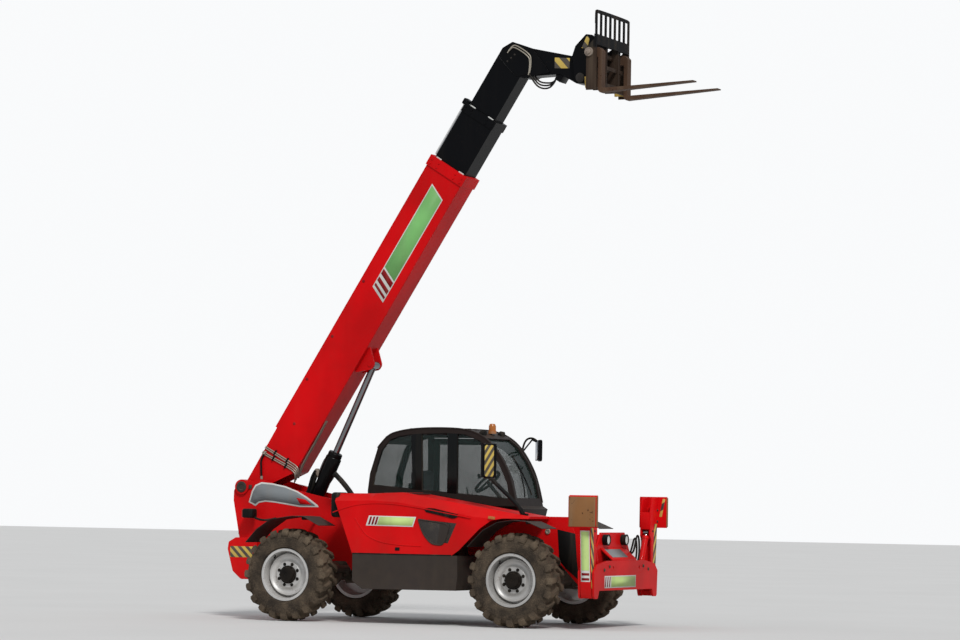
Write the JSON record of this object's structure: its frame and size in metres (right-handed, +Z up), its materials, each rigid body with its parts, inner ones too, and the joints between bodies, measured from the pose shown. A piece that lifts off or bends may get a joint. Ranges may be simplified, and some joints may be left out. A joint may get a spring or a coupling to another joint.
{
  "type": "telehandler",
  "caption": "Telescopic handler with a raised three-stage boom, pallet fork carriage, side cab, engine cover, four steered wheels and folding front stabilisers.",
  "frame": {"origin": "on the ground below the middle of the machine's box, the height of the tyres' contact", "axes": "+X forward towards the forks, +Y to the machine's left, +Z up"},
  "size_m": [6.2845, 2.4, 7.5805],
  "materials": {
    "red_paint": "dusty gloss red paint on steel plate",
    "black_paint": "satin black paint, dusty",
    "cab_steel": "dark brown-grey paint",
    "dark_plastic": "moulded dark brown-grey plastic",
    "rusty_steel": "rust-brown bare steel",
    "cast_iron": "dirty painted castings",
    "chrome_rod": "chromed rod",
    "tyre_rubber": "dusty brown-black tyre rubber",
    "rim_silver": "silver painted steel",
    "glass": "greenish safety glass",
    "seat_fabric": "dark grey seat cloth",
    "lamp_lens": "clear, red and amber lenses"
  },
  "bodies": {
    "chassis": {"chassis_side_left": "red_paint", "chassis_side_right": "red_paint", "chassis_cross_members": "red_paint", "rear_counterweight": "red_paint", "front_beam": "red_paint", "boom_pivot_pin": "chrome_rod", "front_axle": "cast_iron", "rear_axle": "cast_iron", "cab_frame": "cab_steel", "cab_glass": "glass", "seat_base": "cab_steel", "seat_pads": "seat_fabric", "console": "dark_plastic", "engine_hood": "red_paint", "hood_grille": "dark_plastic", "side_skirt": "dark_plastic", "engine_block": "cast_iron", "fuel_tank": "dark_plastic", "fenders": "dark_plastic", "mirrors": "dark_plastic", "lamps": "lamp_lens"},
    "boom_outer": {"boom_outer": "red_paint"},
    "boom_mid": {"boom_mid": "black_paint"},
    "boom_inner": {"boom_inner": "black_paint", "boom_nose": "black_paint"},
    "level_pin": {"carriage_pin": "chrome_rod"},
    "carriage": {"quick_hitch": "black_paint", "fork_frame": "rusty_steel", "fork_left": "rusty_steel", "fork_right": "rusty_steel"},
    "lift_barrel": {"lift_barrel": "black_paint"},
    "lift_rod": {"lift_rod": "chrome_rod"},
    "knuckle_front_left": {"knuckle_front_left": "cast_iron"},
    "wheel_front_left": {"tyre_front_left": "tyre_rubber", "rim_front_left": "rim_silver"},
    "knuckle_front_right": {"knuckle_front_right": "cast_iron"},
    "wheel_front_right": {"tyre_front_right": "tyre_rubber", "rim_front_right": "rim_silver"},
    "steer_rod_front": {"steer_rod_front": "chrome_rod"},
    "knuckle_rear_left": {"knuckle_rear_left": "cast_iron"},
    "wheel_rear_left": {"tyre_rear_left": "tyre_rubber", "rim_rear_left": "rim_silver"},
    "knuckle_rear_right": {"knuckle_rear_right": "cast_iron"},
    "wheel_rear_right": {"tyre_rear_right": "tyre_rubber", "rim_rear_right": "rim_silver"},
    "steer_rod_rear": {"steer_rod_rear": "chrome_rod"},
    "door": {"cab_door": "cab_steel", "door_glass": "glass"},
    "stabiliser_left": {"stabiliser_left": "red_paint"},
    "stabiliser_left_barrel": {"stabiliser_left_barrel": "black_paint"},
    "stabiliser_left_rod": {"stabiliser_left_rod": "chrome_rod"},
    "stabiliser_right": {"stabiliser_right": "red_paint"},
    "stabiliser_right_barrel": {"stabiliser_right_barrel": "black_paint"},
    "stabiliser_right_rod": {"stabiliser_right_rod": "chrome_rod"}
  },
  "joints": [
    {"name": "boom_lift", "type": "hinge", "parent": "chassis", "child": "boom_outer", "pos_m": [-2.978, 0, 1.664], "axis": [0, -1, 0], "range_deg": [-57, 11]},
    {"name": "boom_extend", "type": "slide", "parent": "boom_outer", "child": "boom_mid", "axis": [0.5299, 0, 0.848], "range_m": [-0.6, 2.75]},
    {"name": "boom_extend_inner", "type": "slide", "parent": "boom_mid", "child": "boom_inner", "axis": [0.5299, 0, 0.848], "range_m": [-0.6, 2.75]},
    {"name": "carriage_level", "type": "hinge", "parent": "boom_inner", "child": "level_pin", "pos_m": [1.5547, 0, 6.80054], "axis": [0, -1, 0], "range_deg": [-11, 57]},
    {"name": "fork_tilt", "type": "hinge", "parent": "level_pin", "child": "carriage", "pos_m": [1.5547, 0, 6.80054], "axis": [0, 1, 0], "range_deg": [-10, 75]},
    {"name": "lift_barrel_hinge", "type": "hinge", "parent": "chassis", "child": "lift_barrel", "pos_m": [-2.475, 0, 0.7], "axis": [0, -1, 0], "range_deg": [-49.8, 10.02]},
    {"name": "lift_rod_slide", "type": "slide", "parent": "lift_barrel", "child": "lift_rod", "axis": [0.4178, 0, 0.9086], "range_m": [-1.0247, 0.2058]},
    {"name": "steer_front_left", "type": "hinge", "parent": "chassis", "child": "knuckle_front_left", "pos_m": [1.145, 0.8, 0.575], "axis": [0, 0, 1], "range_deg": [-32, 32]},
    {"name": "roll_front_left", "type": "hinge", "parent": "knuckle_front_left", "child": "wheel_front_left", "pos_m": [1.145, 1, 0.575], "axis": [0, 1, 0], "continuous": true},
    {"name": "steer_front_right", "type": "hinge", "parent": "chassis", "child": "knuckle_front_right", "pos_m": [1.145, -0.8, 0.575], "axis": [0, 0, 1], "range_deg": [-32, 32]},
    {"name": "roll_front_right", "type": "hinge", "parent": "knuckle_front_right", "child": "wheel_front_right", "pos_m": [1.145, -1, 0.575], "axis": [0, 1, 0], "continuous": true},
    {"name": "steer_rod_slide_front", "type": "slide", "parent": "chassis", "child": "steer_rod_front", "axis": [0, 1, 0], "range_m": [-0.091, 0.091]},
    {"name": "steer_rear_left", "type": "hinge", "parent": "chassis", "child": "knuckle_rear_left", "pos_m": [-1.925, 0.8, 0.575], "axis": [0, 0, 1], "range_deg": [-32, 32]},
    {"name": "roll_rear_left", "type": "hinge", "parent": "knuckle_rear_left", "child": "wheel_rear_left", "pos_m": [-1.925, 1, 0.575], "axis": [0, 1, 0], "continuous": true},
    {"name": "steer_rear_right", "type": "hinge", "parent": "chassis", "child": "knuckle_rear_right", "pos_m": [-1.925, -0.8, 0.575], "axis": [0, 0, 1], "range_deg": [-32, 32]},
    {"name": "roll_rear_right", "type": "hinge", "parent": "knuckle_rear_right", "child": "wheel_rear_right", "pos_m": [-1.925, -1, 0.575], "axis": [0, 1, 0], "continuous": true},
    {"name": "steer_rod_slide_rear", "type": "slide", "parent": "chassis", "child": "steer_rod_rear", "axis": [0, 1, 0], "range_m": [-0.091, 0.091]},
    {"name": "cab_door", "type": "hinge", "parent": "chassis", "child": "door", "pos_m": [-0.977, 1.168, 1.6], "axis": [0, 0, 1], "range_deg": [0, 100]},
    {"name": "stabiliser_left", "type": "hinge", "parent": "chassis", "child": "stabiliser_left", "pos_m": [2.085, 0.985, 0.43], "axis": [-1, 0, 0], "range_deg": [0, 100.4]},
    {"name": "stabiliser_left_barrel_hinge", "type": "hinge", "parent": "chassis", "child": "stabiliser_left_barrel", "pos_m": [2.085, 0.64, 0.56], "axis": [-1, 0, 0], "range_deg": [-0.5, 75.97]},
    {"name": "stabiliser_left_rod_slide", "type": "slide", "parent": "stabiliser_left_barrel", "child": "stabiliser_left_rod", "axis": [0, 0.4262, 0.9046], "range_m": [-0.01, 0.439]},
    {"name": "stabiliser_right", "type": "hinge", "parent": "chassis", "child": "stabiliser_right", "pos_m": [2.085, -0.985, 0.43], "axis": [1, 0, 0], "range_deg": [0, 100.4]},
    {"name": "stabiliser_right_barrel_hinge", "type": "hinge", "parent": "chassis", "child": "stabiliser_right_barrel", "pos_m": [2.085, -0.64, 0.56], "axis": [1, 0, 0], "range_deg": [-0.5, 75.97]},
    {"name": "stabiliser_right_rod_slide", "type": "slide", "parent": "stabiliser_right_barrel", "child": "stabiliser_right_rod", "axis": [0, -0.4262, 0.9046], "range_m": [-0.01, 0.439]}
  ],
  "couplings": [
    {"joint": "boom_extend_inner", "follows": "boom_extend", "ratio": 1},
    {"joint": "carriage_level", "follows": "boom_lift", "ratio": -1},
    {"joint": "lift_barrel_hinge", "follows": "boom_lift", "ratio": 0.865},
    {"joint": "lift_rod_slide", "follows": "boom_lift", "m_per_rad": 1.02},
    {"joint": "steer_front_right", "follows": "steer_front_left", "ratio": 1},
    {"joint": "steer_rod_slide_front", "follows": "steer_front_left", "m_per_rad": -0.156},
    {"joint": "steer_rear_left", "follows": "steer_front_left", "ratio": -1},
    {"joint": "steer_rear_right", "follows": "steer_front_left", "ratio": -1},
    {"joint": "steer_rod_slide_rear", "follows": "steer_front_left", "m_per_rad": -0.156},
    {"joint": "stabiliser_left_barrel_hinge", "follows": "stabiliser_left", "ratio": 0.7517},
    {"joint": "stabiliser_left_rod_slide", "follows": "stabiliser_left", "m_per_rad": 0.2448},
    {"joint": "stabiliser_right_barrel_hinge", "follows": "stabiliser_right", "ratio": 0.7517},
    {"joint": "stabiliser_right_rod_slide", "follows": "stabiliser_right", "m_per_rad": 0.2448}
  ]
}
